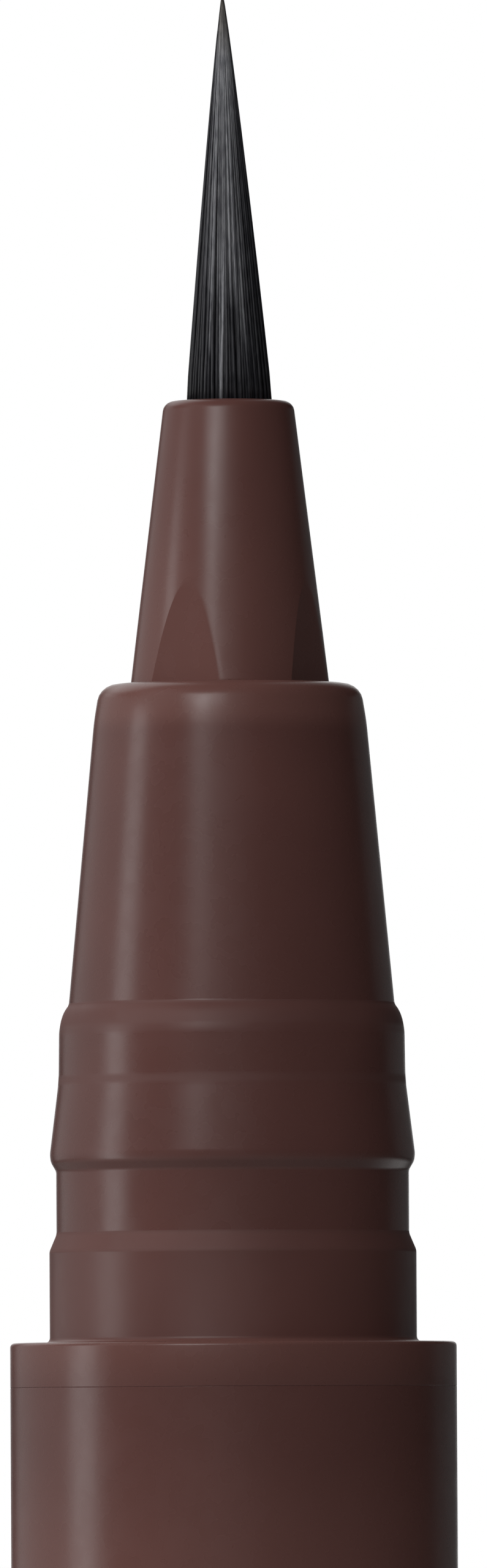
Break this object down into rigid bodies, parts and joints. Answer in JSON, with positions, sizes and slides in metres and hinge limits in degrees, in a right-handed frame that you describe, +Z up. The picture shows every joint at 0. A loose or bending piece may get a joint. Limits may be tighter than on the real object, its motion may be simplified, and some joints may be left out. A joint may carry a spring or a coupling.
{
  "type": "eyebrow pen",
  "caption": "Liquid eyebrow pen with a tapered bristle tip, a stepped neck that the cap clips over, a slim round barrel and a sprung cap posted on its tail.",
  "frame": {"origin": "middle of the cap's closed end, on the floor, with the cap posted on the pen's tail", "axes": "+Z up along the pen towards the brush tip, -Y towards the viewer of the picture, +X to the viewer's right"},
  "size_m": [0.01, 0.01, 0.1497],
  "materials": {
    "brown_plastic": "satin dark brown moulding",
    "bristles": "charcoal filaments",
    "natural_plastic": "uncoloured moulding",
    "fibre": "bonded fibre soaked with pigment",
    "steel": "bright"
  },
  "bodies": {
    "cap": {"cap_shell": "brown_plastic", "cap_spring": "steel"},
    "inner_cap": {"inner_cap": "natural_plastic"},
    "pen": {"brush_tip": "bristles", "nose_cone": "brown_plastic", "front_section": "brown_plastic", "barrel": "brown_plastic", "brush_retainer": "natural_plastic", "relay_core": "fibre", "collector": "natural_plastic", "tank_partition": "natural_plastic", "tail_plug": "brown_plastic"},
    "mixing_ball": {"mixing_ball": "steel"}
  },
  "joints": [
    {"name": "pen_lift", "type": "slide", "parent": "cap", "child": "pen", "axis": [0, 0, 1], "range_m": [0, 0.03]},
    {"name": "inner_cap_travel", "type": "slide", "parent": "cap", "child": "inner_cap", "axis": [0, 0, -1], "range_m": [0, 0.0012], "stiffness_N_per_m": 150, "springref_m": -0.002, "deforming": ["cap_spring"]},
    {"name": "ball_rattle", "type": "slide", "parent": "pen", "child": "mixing_ball", "axis": [0, 0, 1], "range_m": [0, 0.059]}
  ]
}
